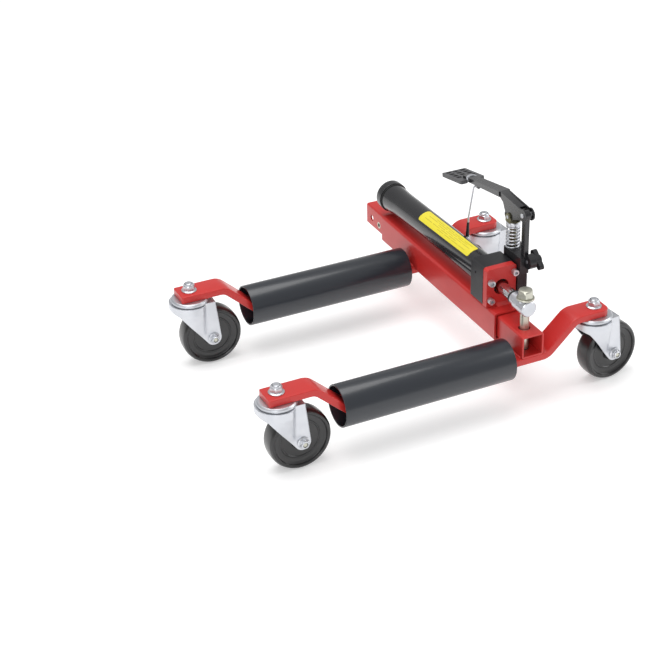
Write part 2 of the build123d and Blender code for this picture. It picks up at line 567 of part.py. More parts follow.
# --- release valve ---------------------------------------------------------------------------------
knob_left, hub_r, hub_length = valve_right + 0.8, 7.5, 11.0
wing_long, wing_wide, wing_thick, wing_turn = 36.0, 10.5, 8.0, 39.0
stem_right = knob_left + 8.0
save("valve_stem", rod((stem_left + 0.6, valve_y, valve_z), (1, 0, 0), stem_r, stem_right - stem_left - 0.6))
knob = rod((knob_left, valve_y, valve_z), (1, 0, 0), hub_r, hub_length)
wing_base = Plane(origin=(knob_left + 2.5, valve_y, valve_z), x_dir=(0, 1, 0), z_dir=(1, 0, 0))
knob += extrude(wing_base * SlotOverall(wing_long, wing_wide, rotation=wing_turn), wing_thick)
knob -= rod((knob_left - 1, valve_y, valve_z), (1, 0, 0), stem_r + 0.02, stem_right - knob_left + 1.05)
save("wing_knob", knob)
save("valve_ball", Pos(stem_left - 1.7, valve_y, valve_z) * Sphere(1.6))
save("valve_plug", rod((valve_left - 0.4, valve_y, valve_z), (1, 0, 0), 2.95, 2.4))

# --- hold-down hook --------------------------------------------------------------------------------
hook_x = lever_x - 14.0
path = FilletPolyline([(lever_x + 3.2, lug_y, lug_z), (lever_x - 8.0, lug_y, lug_z),
                       (hook_x, lug_y + 5.0, 214), (hook_x, lug_y + 7.5, 178),
                       (hook_x, lug_y - 4.0, 168)], radius=3.0)
start_plane = Plane(origin=path @ 0, z_dir=path % 0)
save("hold_down_hook", sweep(start_plane * Circle(hook_wire), path=path))

# --- sizes -----------------------------------------------------------------------------------------
whole = Compound(children=[shape for _, shape in written])
box = whole.bounding_box()
print("nodes", len(written), "box", box.min, box.max)
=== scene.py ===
import bpy
import bmesh
import json
import math
import numpy as np
from mathutils import Matrix, Vector

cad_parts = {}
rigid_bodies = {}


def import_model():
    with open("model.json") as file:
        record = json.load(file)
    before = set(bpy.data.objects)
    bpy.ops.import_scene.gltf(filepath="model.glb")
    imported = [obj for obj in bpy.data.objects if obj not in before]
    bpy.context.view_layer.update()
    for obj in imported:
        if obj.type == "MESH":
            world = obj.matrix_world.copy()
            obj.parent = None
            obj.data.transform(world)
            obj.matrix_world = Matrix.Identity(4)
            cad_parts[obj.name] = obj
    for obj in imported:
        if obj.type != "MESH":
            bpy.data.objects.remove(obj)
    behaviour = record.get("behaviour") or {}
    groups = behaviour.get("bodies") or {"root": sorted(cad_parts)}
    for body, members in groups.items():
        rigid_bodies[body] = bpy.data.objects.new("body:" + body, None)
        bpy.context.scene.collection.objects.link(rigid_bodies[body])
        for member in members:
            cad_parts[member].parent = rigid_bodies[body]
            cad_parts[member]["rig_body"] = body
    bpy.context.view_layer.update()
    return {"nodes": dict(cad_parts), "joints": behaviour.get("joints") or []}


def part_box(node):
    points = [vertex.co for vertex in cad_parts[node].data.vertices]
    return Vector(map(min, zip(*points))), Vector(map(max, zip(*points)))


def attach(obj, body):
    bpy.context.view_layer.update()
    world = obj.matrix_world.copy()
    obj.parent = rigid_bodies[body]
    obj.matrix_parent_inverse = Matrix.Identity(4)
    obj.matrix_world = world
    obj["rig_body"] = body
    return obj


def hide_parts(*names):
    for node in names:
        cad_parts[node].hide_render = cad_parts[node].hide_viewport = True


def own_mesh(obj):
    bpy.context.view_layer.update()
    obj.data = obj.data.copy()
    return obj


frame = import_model()
joints = {j["name"]: j for j in frame["joints"]}
corners = ("rear_left", "front_left", "front_right", "rear_right")


def unit(v):
    v = np.asarray(v, float)
    return v / np.linalg.norm(v)


def crossFrame(axis):
    # two directions square to an axis and to each other
    axis = unit(axis)
    helper = np.array([0, 0, 1.0]) if abs(axis[2]) < 0.9 else np.array([1.0, 0, 0])
    first = unit(np.cross(helper, axis))
    return first, np.cross(axis, first)


def gridFaces(rows, cols, wrapRows, wrapCols):
    # one quad for each cell of a rows by cols grid, with the last line joined to the first where it wraps
    r = np.arange(rows if wrapRows else rows - 1)
    c = np.arange(cols if wrapCols else cols - 1)
    rr, cc = np.meshgrid(r, c, indexing="ij")
    nextR, nextC = (rr + 1) % rows, (cc + 1) % cols
    quads = np.stack([rr * cols + cc, rr * cols + nextC, nextR * cols + nextC, nextR * cols + cc], -1)
    return quads.reshape(-1, 4).tolist()


def buildPiece(name, grids, smoothAngle=35.0, outward=True):
    # grids: list of (points, wrapRows, wrapCols, capFirst, capLast); a cap is one flat face over a row
    verts, faces = [], []
    base = 0
    for points, wrapRows, wrapCols, capFirst, capLast in grids:
        rows, cols = points.shape[:2]
        verts.append(points.reshape(-1, 3))
        faces += [[base + k for k in f] for f in gridFaces(rows, cols, wrapRows, wrapCols)]
        if capFirst:
            faces.append([base + k for k in range(cols)][::-1])
        if capLast:
            faces.append([base + (rows - 1) * cols + k for k in range(cols)])
        base += rows * cols
    mesh = bpy.data.meshes.new(name)
    mesh.from_pydata(np.concatenate(verts).tolist(), [], faces)
    tidyMesh(mesh, 1e-6, outward)
    mesh.shade_smooth()
    mesh.set_sharp_from_angle(angle=math.radians(smoothAngle))
    piece = bpy.data.objects.new(name, mesh)
    bpy.context.scene.collection.objects.link(piece)
    return piece


def tidyMesh(mesh, reach, outward=True):
    work = bmesh.new()
    work.from_mesh(mesh)
    bmesh.ops.remove_doubles(work, verts=work.verts, dist=reach)
    bmesh.ops.dissolve_degenerate(work, edges=work.edges, dist=reach)
    if outward:
        bmesh.ops.recalc_face_normals(work, faces=work.faces)
    work.to_mesh(mesh)
    work.free()


def roundedLine(points, radii, steps=6, closed=False):
    # a polyline whose corners are arcs: each arc touches both runs and turns evenly between them
    points = [np.array(p, float) for p in points]
    out = []
    count = len(points)
    for i, here in enumerate(points):
        radius = radii[i] if hasattr(radii, "__len__") else radii
        if radius <= 0 or (not closed and i in (0, count - 1)):
            out.append(here[None])
            continue
        a, b = unit(points[i - 1] - here), unit(points[(i + 1) % count] - here)
        half = math.acos(np.clip(np.dot(a, b), -1, 1)) / 2
        if half > math.pi / 2 - 1e-3:
            out.append(here[None])
            continue
        middle = here + unit(a + b) * radius / math.sin(half)
        start = here + a * radius / math.tan(half)
        end = here + b * radius / math.tan(half)
        t = np.linspace(0, 1, steps + 1)[:, None]
        sweep = math.pi - 2 * half
        u, w = (start - middle) / radius, (end - middle) / radius
        out.append(middle + radius * (np.sin((1 - t) * sweep) * u + np.sin(t * sweep) * w) / math.sin(sweep))
    return np.concatenate(out)


def revolved(profile, center, axis, segments=96):
    # each (radius, height) point of the profile goes round the axis: centre + axis*height + radius*(cos, sin)
    profile = np.asarray(profile, float)
    first, second = crossFrame(axis)
    turn = np.linspace(0, 2 * np.pi, segments, endpoint=False)
    ring = np.cos(turn)[:, None] * first + np.sin(turn)[:, None] * second
    return (np.asarray(center, float) + profile[:, 1, None, None] * unit(axis)
            + profile[:, 0, None, None] * ring[None])


def swept(path, section, side=(0, 1, 0), scale=None):
    # each section point (across, up) is carried along the path, across along the side, up square to both
    path = np.asarray(path, float)
    section = np.asarray(section, float)
    run = np.gradient(path, axis=0)
    run /= np.linalg.norm(run, axis=1, keepdims=True)
    side = np.broadcast_to(np.asarray(side, float), path.shape)
    up = np.cross(run, side)
    up /= np.linalg.norm(up, axis=1, keepdims=True)
    scale = np.ones((len(path), 2)) if scale is None else scale
    across = section[None, :, 0, None] * scale[:, 0, None, None] * side[:, None]
    return path[:, None] + across + section[None, :, 1, None] * scale[:, 1, None, None] * up[:, None]


def tube(path, radius, sides=14):
    # a circle of the given radius carried along the path, turned as little as possible from point to point
    path = np.asarray(path, float)
    radius = np.broadcast_to(np.asarray(radius, float), (len(path),))
    run = np.gradient(path, axis=0)
    run /= np.linalg.norm(run, axis=1, keepdims=True)
    first = np.zeros_like(path)
    first[0] = crossFrame(run[0])[0]
    for i in range(1, len(path)):
        step = first[i - 1] - run[i] * np.dot(first[i - 1], run[i])
        first[i] = step / np.linalg.norm(step)
    second = np.cross(run, first)
    turn = np.linspace(0, 2 * np.pi, sides, endpoint=False)
    ring = np.cos(turn)[None, :, None] * first[:, None] + np.sin(turn)[None, :, None] * second[:, None]
    return path[:, None] + radius[:, None, None] * ring


def onBody(piece, body, slotName, material, *replaced):
    piece.data.materials.append(material)
    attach(piece, body)
    if replaced:
        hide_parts(*replaced)
    return piece


def softened(node, width, material, slotName, segments=2, angle=28.0):
    # a merged copy of a CAD node with its sharp edges rounded over
    source = frame["nodes"][node]
    mesh = source.data.copy()
    mesh.name = node + "_rounded"
    mesh.materials.clear()
    work = bmesh.new()
    work.from_mesh(mesh)
    bmesh.ops.remove_doubles(work, verts=work.verts, dist=2e-6)
    bmesh.ops.dissolve_limit(work, angle_limit=math.radians(0.8), verts=work.verts, edges=work.edges,
                             delimit={"NORMAL"})
    work.to_mesh(mesh)
    work.free()
    if mesh.has_custom_normals:
        mesh.attributes.remove(mesh.attributes["custom_normal"])
    mesh.shade_smooth()
    mesh.set_sharp_from_angle(angle=math.radians(angle))
    piece = bpy.data.objects.new(node + "_rounded", mesh)
    bpy.context.scene.collection.objects.link(piece)
    bevel = piece.modifiers.new("roundedEdges", "BEVEL")
    bevel.width = width
    bevel.segments = segments
    bevel.limit_method = "ANGLE"
    bevel.angle_limit = math.radians(angle)
    bevel.harden_normals = False
    return onBody(piece, source["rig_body"], slotName, material, node)


def newGroup(name, inputs, outputs):
    group = bpy.data.node_groups.new(name, "ShaderNodeTree")
    for label, value in inputs.items():
        socket = group.interface.new_socket(name=label, in_out="INPUT", socket_type="NodeSocketFloat")
        socket.default_value = value
    for label in outputs:
        group.interface.new_socket(name=label, in_out="OUTPUT", socket_type="NodeSocketFloat")
    return group, group.nodes.new("NodeGroupInput"), group.nodes.new("NodeGroupOutput")


def addNode(tree, kind, **values):
    node = tree.nodes.new(kind)
    for key, value in values.items():
        if key.startswith("in_"):
            node.inputs[key[3:].replace("_", " ")].default_value = value
        else:
            setattr(node, key, value)
    return node


def addMath(tree, operation, a, b=None, clamp=False):
    node = tree.nodes.new("ShaderNodeMath")
    node.operation = operation
    node.use_clamp = clamp
    for i, value in enumerate((a, b)):
        if value is None:
            continue
        if hasattr(value, "is_output"):
            tree.links.new(value, node.inputs[i])
        else:
            node.inputs[i].default_value = value
    return node.outputs[0]


def makeGrainGroup():
    # fine noise for bump height, and slow noise that shifts the roughness
    group, gin, gout = newGroup("surfaceGrain",
                                {"Grain Scale": 900.0, "Patch Scale": 30.0, "Base Roughness": 0.4,
                                                 "Roughness Spread": 0.1}, ("Height", "Roughness", "Patch"))
    place = addNode(group, "ShaderNodeTexCoord")
    grain = addNode(group, "ShaderNodeTexNoise", in_Detail=3.0)
    patch = addNode(group, "ShaderNodeTexNoise", in_Detail=4.0)
    group.links.new(place.outputs["Object"], grain.inputs["Vector"])
    group.links.new(place.outputs["Object"], patch.inputs["Vector"])
    group.links.new(gin.outputs["Grain Scale"], grain.inputs["Scale"])
    group.links.new(gin.outputs["Patch Scale"], patch.inputs["Scale"])
    offCenter = addMath(group, "SUBTRACT", patch.outputs["Fac"], 0.5)
    swing = addMath(group, "MULTIPLY", offCenter, gin.outputs["Roughness Spread"])
    rough = addMath(group, "ADD", gin.outputs["Base Roughness"], swing, clamp=True)
    group.links.new(grain.outputs["Fac"], gout.inputs["Height"])
    group.links.new(rough, gout.inputs["Roughness"])
    group.links.new(patch.outputs["Fac"], gout.inputs["Patch"])
    return group


def makeEdgeTintAndSheenGroup():
    # how far the rounded normal turns from the true one marks an edge, broken up by noise; a finish's edge
    # colour over this mask is a painted edge highlight where it is lighter than the base, and a darker edge
    # tint where it is darker
    group, gin, gout = newGroup("edgeWear", {"Reach": 0.0012, "Amount": 1.0, "Break Scale": 140.0}, ("Mask",))
    place = addNode(group, "ShaderNodeTexCoord")
    geometry = addNode(group, "ShaderNodeNewGeometry")
    bevel = addNode(group, "ShaderNodeBevel", samples=6)
    group.links.new(gin.outputs["Reach"], bevel.inputs["Radius"])
    dot = group.nodes.new("ShaderNodeVectorMath")
    dot.operation = "DOT_PRODUCT"
    group.links.new(bevel.outputs["Normal"], dot.inputs[0])
    group.links.new(geometry.outputs["Normal"], dot.inputs[1])
    turn = addMath(group, "MULTIPLY", addMath(group, "SUBTRACT", 0.985, dot.outputs["Value"]), 9.0,
                   clamp=True)
    noise = addNode(group, "ShaderNodeTexNoise", in_Detail=5.0)
    group.links.new(place.outputs["Object"], noise.inputs["Vector"])
    group.links.new(gin.outputs["Break Scale"], noise.inputs["Scale"])
    broken = addMath(group, "MULTIPLY", addMath(group, "SUBTRACT", noise.outputs["Fac"], 0.5), 7.0,
                     clamp=True)
    mask = addMath(group, "MULTIPLY", addMath(group, "MULTIPLY", turn, broken), gin.outputs["Amount"],
                   clamp=True)
    group.links.new(mask, gout.inputs["Mask"])
    return group


def makeDustGroup():
    # dust settles where faces look up, in soft patches
    group, gin, gout = newGroup("settledDust", {"Amount": 0.2, "Patch Scale": 25.0}, ("Mask",))
    place = addNode(group, "ShaderNodeTexCoord")
    geometry = addNode(group, "ShaderNodeNewGeometry")
    split = addNode(group, "ShaderNodeSeparateXYZ")
    group.links.new(geometry.outputs["Normal"], split.inputs["Vector"])
    noise = addNode(group, "ShaderNodeTexNoise", in_Detail=6.0)
    group.links.new(place.outputs["Object"], noise.inputs["Vector"])
    group.links.new(gin.outputs["Patch Scale"], noise.inputs["Scale"])
    up = addMath(group, "MULTIPLY", addMath(group, "ADD", split.outputs["Z"], 0.1), 0.9, clamp=True)
    patch = addMath(group, "MULTIPLY", addMath(group, "SUBTRACT", noise.outputs["Fac"], 0.3), 2.0, clamp=True)
    mask = addMath(group, "MULTIPLY", addMath(group, "MULTIPLY", up, patch), gin.outputs["Amount"],
                   clamp=True)
    group.links.new(mask, gout.inputs["Mask"])
    return group


print("groups")
grainGroup, edgeTintAndSheenGroup, dustGroup = makeGrainGroup(), makeEdgeTintAndSheenGroup(), makeDustGroup()


def makeFinish(name, color, roughness=0.4, spread=0.1, metallic=0.0, grain=900.0, depth=0.00002,
               bumpStrength=0.25,
               second=None, edgeTintAndSheenColor=None, edgeTintAndSheenAmount=0.0, edgeTintAndSheenReach=0.0012, dust=0.0, dustColor=(0.5, 0.48, 0.45),
               coat=0.0,
               coatRoughness=0.1, patch=30.0, specular=0.5):
    material = bpy.data.materials.new(name)
    material.use_nodes = True
    tree = material.node_tree
    shader = tree.nodes["Principled BSDF"]
    shader.inputs["Metallic"].default_value = metallic
    shader.inputs["Coat Weight"].default_value = coat
    shader.inputs["Coat Roughness"].default_value = coatRoughness
    shader.inputs["Specular IOR Level"].default_value = specular
    surface = addNode(tree, "ShaderNodeGroup")
    surface.node_tree = grainGroup
    surface.inputs["Grain Scale"].default_value = grain
    surface.inputs["Patch Scale"].default_value = patch
    surface.inputs["Base Roughness"].default_value = roughness
    surface.inputs["Roughness Spread"].default_value = spread
    tree.links.new(surface.outputs["Roughness"], shader.inputs["Roughness"])
    bump = addNode(tree, "ShaderNodeBump", in_Strength=bumpStrength, in_Distance=depth)
    tree.links.new(surface.outputs["Height"], bump.inputs["Height"])
    tree.links.new(bump.outputs["Normal"], shader.inputs["Normal"])
    blend = addNode(tree, "ShaderNodeMix", data_type="RGBA")
    blend.inputs[6].default_value = (*color, 1)
    blend.inputs[7].default_value = (*(second or [c * 0.82 for c in color]), 1)
    tree.links.new(surface.outputs["Patch"], blend.inputs[0])
    result = blend.outputs[2]
    # dust on up-facing faces, then each finish's edge colour along edges and creases: a painted edge
    # highlight on the red, black and slate finishes, a darker tint on the zinc ones
    for amount, mixColor, group in ((dust, dustColor, dustGroup), (edgeTintAndSheenAmount, edgeTintAndSheenColor, edgeTintAndSheenGroup)):
        if amount <= 0 or mixColor is None:
            continue
        mask = addNode(tree, "ShaderNodeGroup")
        mask.node_tree = group
        mask.inputs["Amount"].default_value = amount
        if group is edgeTintAndSheenGroup:
            mask.inputs["Reach"].default_value = edgeTintAndSheenReach
        layer = addNode(tree, "ShaderNodeMix", data_type="RGBA")
        layer.inputs[7].default_value = (*mixColor, 1)
        tree.links.new(result, layer.inputs[6])
        tree.links.new(mask.outputs["Mask"], layer.inputs[0])
        result = layer.outputs[2]
    tree.links.new(result, shader.inputs["Base Color"])
    return material


print("materials")
# the lighter pink-red edge colour is a painted edge highlight along the bars' edges
redPaint = makeFinish("redPaint", (0.55, 0.026, 0.022), 0.34, 0.12, grain=420.0, depth=0.00004,
                      bumpStrength=0.18,
                      second=(0.46, 0.025, 0.024), edgeTintAndSheenColor=(0.62, 0.20, 0.16), edgeTintAndSheenAmount=0.35, coat=0.18,
                      coatRoughness=0.20, specular=0.35)
# the lighter grey edge colour is a painted edge highlight along the rollers' edges
slateCoat = makeFinish("slateCoat", (0.017, 0.021, 0.028), 0.33, 0.16, grain=700.0, depth=0.00004,
                       bumpStrength=0.25, second=(0.012, 0.015, 0.021), edgeTintAndSheenColor=(0.12, 0.13, 0.14), edgeTintAndSheenAmount=0.5,
                       coat=0.35, coatRoughness=0.16, patch=14.0)
# the edge colour here is darker than the base: edges and creases come out darker
zincPlate = makeFinish("zincPlate", (0.66, 0.67, 0.70), 0.34, 0.18, metallic=0.9, grain=1500.0, depth=0.00001,
                       second=(0.52, 0.54, 0.58), edgeTintAndSheenColor=(0.36, 0.35, 0.34), edgeTintAndSheenAmount=0.3, patch=45.0)
# the edge colour here is darker than the base: edges and creases come out darker
yellowZinc = makeFinish("yellowZinc", (0.62, 0.61, 0.52), 0.34, 0.16, metallic=0.9, grain=1500.0,
                        depth=0.00001,
                        second=(0.46, 0.46, 0.40), edgeTintAndSheenColor=(0.30, 0.28, 0.24), edgeTintAndSheenAmount=0.35, patch=90.0)
brightSteel = makeFinish("brightSteel", (0.70, 0.70, 0.71), 0.16, 0.08, metallic=1.0, grain=2500.0,
                         depth=0.000005)
# the lighter grey edge colour is a painted edge highlight along the black parts' edges
blackEnamel = makeFinish("blackEnamel", (0.006, 0.006, 0.008), 0.26, 0.12, grain=600.0, depth=0.00003,
                         bumpStrength=0.2, second=(0.010, 0.010, 0.012), edgeTintAndSheenColor=(0.10, 0.10, 0.11), edgeTintAndSheenAmount=0.45,
                         coat=0.4, coatRoughness=0.12)
# the lighter grey edge colour is a painted edge highlight along the pump block's and knob's edges
castBlack = makeFinish("castBlack", (0.007, 0.007, 0.009), 0.36, 0.16, grain=520.0, depth=0.00009,
                       bumpStrength=0.4, second=(0.013, 0.013, 0.015), edgeTintAndSheenColor=(0.14, 0.14, 0.15), edgeTintAndSheenAmount=0.7)
wheelBlack = makeFinish("wheelBlack", (0.005, 0.005, 0.006), 0.30, 0.14, grain=900.0, depth=0.00003,
                        bumpStrength=0.25, second=(0.009, 0.009, 0.010), dust=0.04, patch=22.0, coat=0.3,
                        coatRoughness=0.18)
padGrey = makeFinish("padGrey", (0.075, 0.075, 0.080), 0.42, 0.14, grain=800.0, depth=0.00003)
bushBlack = makeFinish("bushBlack", (0.014, 0.014, 0.015), 0.5, 0.1, grain=900.0)
oliveZinc = makeFinish("oliveZinc", (0.24, 0.22, 0.13), 0.36, 0.2, metallic=0.85, grain=900.0,
                       second=(0.08, 0.08, 0.05), patch=170.0)
sealRubber = makeFinish("sealRubber", (0.014, 0.014, 0.014), 0.6, 0.1, grain=900.0)
darkSteel = makeFinish("darkSteel", (0.06, 0.06, 0.065), 0.38, 0.12, metallic=0.8, grain=900.0)
labelYellow = makeFinish("labelYellow", (0.78, 0.68, 0.030), 0.42, 0.08, grain=500.0, depth=0.00001,
                         second=(0.73, 0.62, 0.025), coat=0.25, coatRoughness=0.25)
labelInk = makeFinish("labelInk", (0.38, 0.31, 0.02), 0.5, 0.05, grain=500.0, depth=0.00001)

print("stage")
cameraShape = {"lens": 94.6, "shiftX": -0.0747, "shiftY": -0.0016, "azimuth": -26.51, "elevation": 29.96,
               "roll": -0.58, "place": (-1.12254, -2.21815, 1.4839)}
cameraData = bpy.data.cameras.new("camera")
cameraData.lens = cameraShape["lens"]
cameraData.sensor_width = 36.0
cameraData.sensor_fit = "HORIZONTAL"
cameraData.shift_x = cameraShape["shiftX"]
cameraData.shift_y = cameraShape["shiftY"]
cameraData.clip_end = 50.0
camera = bpy.data.objects.new("camera", cameraData)
az, el, roll = (math.radians(cameraShape[k]) for k in ("azimuth", "elevation", "roll"))
back = Vector((math.sin(az) * math.cos(el), -math.cos(az) * math.cos(el), math.sin(el)))
level = Vector((math.cos(az), math.sin(az), 0))
upright = back.cross(level)
right = level * math.cos(roll) + upright * math.sin(roll)
upward = back.cross(right)
turned = Matrix((right, upward, back)).transposed().to_4x4()
camera.matrix_world = Matrix.Translation(cameraShape["place"]) @ turned
bpy.context.scene.collection.objects.link(camera)
bpy.context.scene.camera = camera

stageShape = {"floorSize": 40.0, "floorColor": (0.80, 0.80, 0.80), "glow": 0.34, "sky": 0.52}
floorMesh = bpy.data.meshes.new("floor")
h = stageShape["floorSize"] / 2
floorMesh.from_pydata([(-h, -h, 0), (h, -h, 0), (h, h, 0), (-h, h, 0)], [], [(0, 1, 2, 3)])
floor = bpy.data.objects.new("floor", floorMesh)
bpy.context.scene.collection.objects.link(floor)
floorPaint = makeFinish("floorPaint", stageShape["floorColor"], 0.7, 0.05, second=(0.79, 0.79, 0.79),
                        patch=0.6)
floorShader = next(n for n in floorPaint.node_tree.nodes if n.type == "BSDF_PRINCIPLED")
floorShader.inputs["Emission Color"].default_value = (1, 1, 1, 1)
floorShader.inputs["Emission Strength"].default_value = stageShape["glow"]
floorMesh.materials.append(floorPaint)
world = bpy.data.worlds.new("studio")
world.use_nodes = True
world.node_tree.nodes["Background"].inputs["Color"].default_value = (1, 1, 1, 1)
world.node_tree.nodes["Background"].inputs["Strength"].default_value = stageShape["sky"]
bpy.context.scene.world = world

lampShapes = {
    "topBox": {"place": (-0.3, 0.3, 2.6), "aim": (0, 0, 0.1), "size": (2.2, 2.2), "power": 52.0},
    "frontBox": {"place": (-1.6, -2.2, 1.6), "aim": (0, 0, 0.15), "size": (1.0, 1.6), "power": 17.0},
    "sideBox": {"place": (2.4, -0.9, 1.5), "aim": (0.1, 0, 0.15), "size": (1.0, 1.8), "power": 18.0},
}
for lampName, shape in lampShapes.items():
    lampData = bpy.data.lights.new(lampName, "AREA")
    lampData.shape = "RECTANGLE"
    lampData.size, lampData.size_y = shape["size"]
    lampData.energy = shape["power"]
    lamp = bpy.data.objects.new(lampName, lampData)
    aim = Vector(shape["aim"]) - Vector(shape["place"])
    facing = aim.to_track_quat("-Z", "Y").to_matrix().to_4x4()
    lamp.matrix_world = Matrix.Translation(shape["place"]) @ facing
    bpy.context.scene.collection.objects.link(lamp)
bpy.context.scene.view_settings.view_transform = "Standard"

print("bars")
barShape = {"leftTop": 0.221, "leftLow": 0.167, "rightLow": 0.1815, "rightTop": 0.234, "bend": 0.022,
            "thick": 0.012, "edge": 0.0014, "leftCorner": 0.003, "rightCorner": 0.012}
kingpinMiddle = sum(joints[c + "_caster_swivel"]["pos_m"][0] for c in corners) / 4


def barEnds(distance, corner, half, edge):
    # near an end the half width follows a quarter circle of the corner radius: half - r + sqrt(r^2 - (r -
    # d)^2)
    d = np.clip(distance, 0, corner)
    width = half - corner + np.sqrt(np.maximum(corner ** 2 - (corner - d) ** 2, 0))
    e = np.clip(distance, 0, edge)
    thick = 1 - (edge - np.sqrt(np.maximum(edge ** 2 - (edge - e) ** 2, 0))) / (barShape["thick"] / 2)
    return width / half, thick


def flatBar(node, body):
    # a rounded rectangle carried along a line with four bends, drawn in towards each end
    low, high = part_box(node)
    y = (low.y + high.y) / 2
    halfWide, thick = (high.y - low.y) / 2, barShape["thick"]
    z0, z1 = low.z + thick / 2, high.z - thick / 2
    line = [(low.x, z1), (kingpinMiddle - barShape["leftTop"], z1), (kingpinMiddle - barShape["leftLow"], z0),
            (kingpinMiddle + barShape["rightLow"], z0), (kingpinMiddle + barShape["rightTop"], z1),
            (high.x, z1)]
    flat = roundedLine(line, barShape["bend"], steps=14)
    near = np.concatenate([[0, 0.0002, 0.0006, 0.0012], np.linspace(0.002, 0.012, 8)])
    startPart = np.stack([low.x + near, np.full_like(near, z1)], 1)
    endPart = np.stack([high.x - near[::-1], np.full_like(near, z1)], 1)
    flat = np.concatenate([startPart, flat[1:-1], endPart])
    path = np.stack([flat[:, 0], np.full(len(flat), y), flat[:, 1]], 1)
    edge = barShape["edge"]
    section = roundedLine([(-halfWide, -thick / 2), (halfWide, -thick / 2), (halfWide, thick / 2),
                           (-halfWide, thick / 2)], edge, steps=4, closed=True)
    leftW, leftT = barEnds(flat[:, 0] - low.x, barShape["leftCorner"], halfWide, edge)
    rightW, rightT = barEnds(high.x - flat[:, 0], barShape["rightCorner"], halfWide, edge)
    scale = np.stack([np.minimum(leftW, rightW), np.minimum(leftT, rightT)], 1)
    strap = swept(path, section, (0, 1, 0), scale)
    piece = buildPiece(node + "_strap", [(strap, False, True, True, True)], 40)
    return onBody(piece, body, "red_paint", redPaint, node)


flatBar("front_bar", "slider")
flatBar("rear_bar", "root")

print("rollers")
rollerShape = {"wall": 0.0025, "lip": 0.0009}
for end, body in (("front", "front_roller_body"), ("rear", "rear_roller_body")):
    low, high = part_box(end + "_roller")
    middle = ((low.x + high.x) / 2, (low.y + high.y) / 2, (low.z + high.z) / 2)
    outer = (high.z - low.z) / 2
    inner, half = outer - rollerShape["wall"], (high.x - low.x) / 2
    ring = roundedLine([(inner, -half), (outer, -half), (outer, half), (inner, half)], rollerShape["lip"],
                       steps=4, closed=True)
    skin = revolved(ring, middle, (1, 0, 0), 144)
    rollerPiece = buildPiece(end + "_roller_tube", [(skin, True, True, False, False)], 50)
    onBody(rollerPiece, body, "slate_coat", slateCoat, end + "_roller")

print("casters")
wheelShape = {"bore": 0.00605, "hub": 0.0140, "hubHalf": 0.0183, "web": 0.0098, "dish": 0.0385, "rim": 0.0425,
              "rimHalf": 0.0160, "tread": 0.0510}
forkShape = {"crown": 0.0345, "legHalf": 0.0215, "sheet": 0.0025, "legEnd": 0.0130, "rearTop": 0.0370,
             "frontCorner": -0.0245, "skirt": 0.0100, "flareLow": 0.056, "edge": 0.0026}
kingpinShape = {"shank": 0.0060, "flats": 0.018, "nutHeight": 0.0105, "flange": 0.0125,
                "flangeHeight": 0.0022,
                "headHeight": 0.0075, "pitch": 0.00175}
axleShape = {"shank": 0.0039, "flats": 0.0145, "nutHeight": 0.0068, "flange": 0.0098, "flangeHeight": 0.0018,
             "sleeve": 0.0060, "pitch": 0.00125}
raceShape = {"radius": 0.0310, "sheet": 0.0024, "bore": 0.0064}


def wheelSurface(name, place, axis):
    # profile of radius against distance along the axle: hub, web, raised ring, rim lip, rounded tread,
    # mirrored
    s = wheelShape
    half = [(s["bore"], s["hubHalf"]), (s["hub"] - 0.003, s["hubHalf"]), (s["hub"], s["hubHalf"] - 0.002),
            (s["hub"] + 0.0015, s["web"] + 0.001), (0.0300, s["web"] - 0.0005), (0.0310, s["web"] + 0.0008),
            (0.0325, s["web"] + 0.0008), (0.0335, s["web"]), (s["dish"], s["web"] + 0.0010),
            (s["rim"], 0.0122),
            (0.0433, s["rimHalf"] - 0.0012), (0.0450, s["rimHalf"]), (0.0478, s["rimHalf"] - 0.0004),
            (0.0502, s["rimHalf"] - 0.0042), (s["tread"], 0.0062)]
    radii = [0, 0.0006, 0.001, 0.002, 0.0006, 0.0004, 0.0004, 0.0006, 0.003, 0.002, 0.001, 0.001, 0.0016,
             0.004, 0]
    side = roundedLine(half, radii, steps=5)
    profile = np.concatenate([side, side[::-1] * np.array([1, -1])])
    return buildPiece(name, [(revolved(profile, place, axis, 128), True, True, False, False)], 32)


def sideLine(z, middle, radius, corner, side):
    # along a leg's edge: the end circle below the point where a tangent leaves it, then that tangent to the
    # corner
    away = np.array(corner) - np.array(middle)
    distance = np.linalg.norm(away)
    angle = math.atan2(away[1], away[0]) - side * math.acos(radius / distance)
    touch = np.array(middle) + radius * np.array([math.cos(angle), math.sin(angle)])
    arc = middle[0] + side * np.sqrt(np.maximum(radius ** 2 - (z - middle[1]) ** 2, 0))
    straight = touch[0] + (corner[0] - touch[0]) * (z - touch[1]) / (corner[1] - touch[1])
    return np.where(z < touch[1], arc, straight)


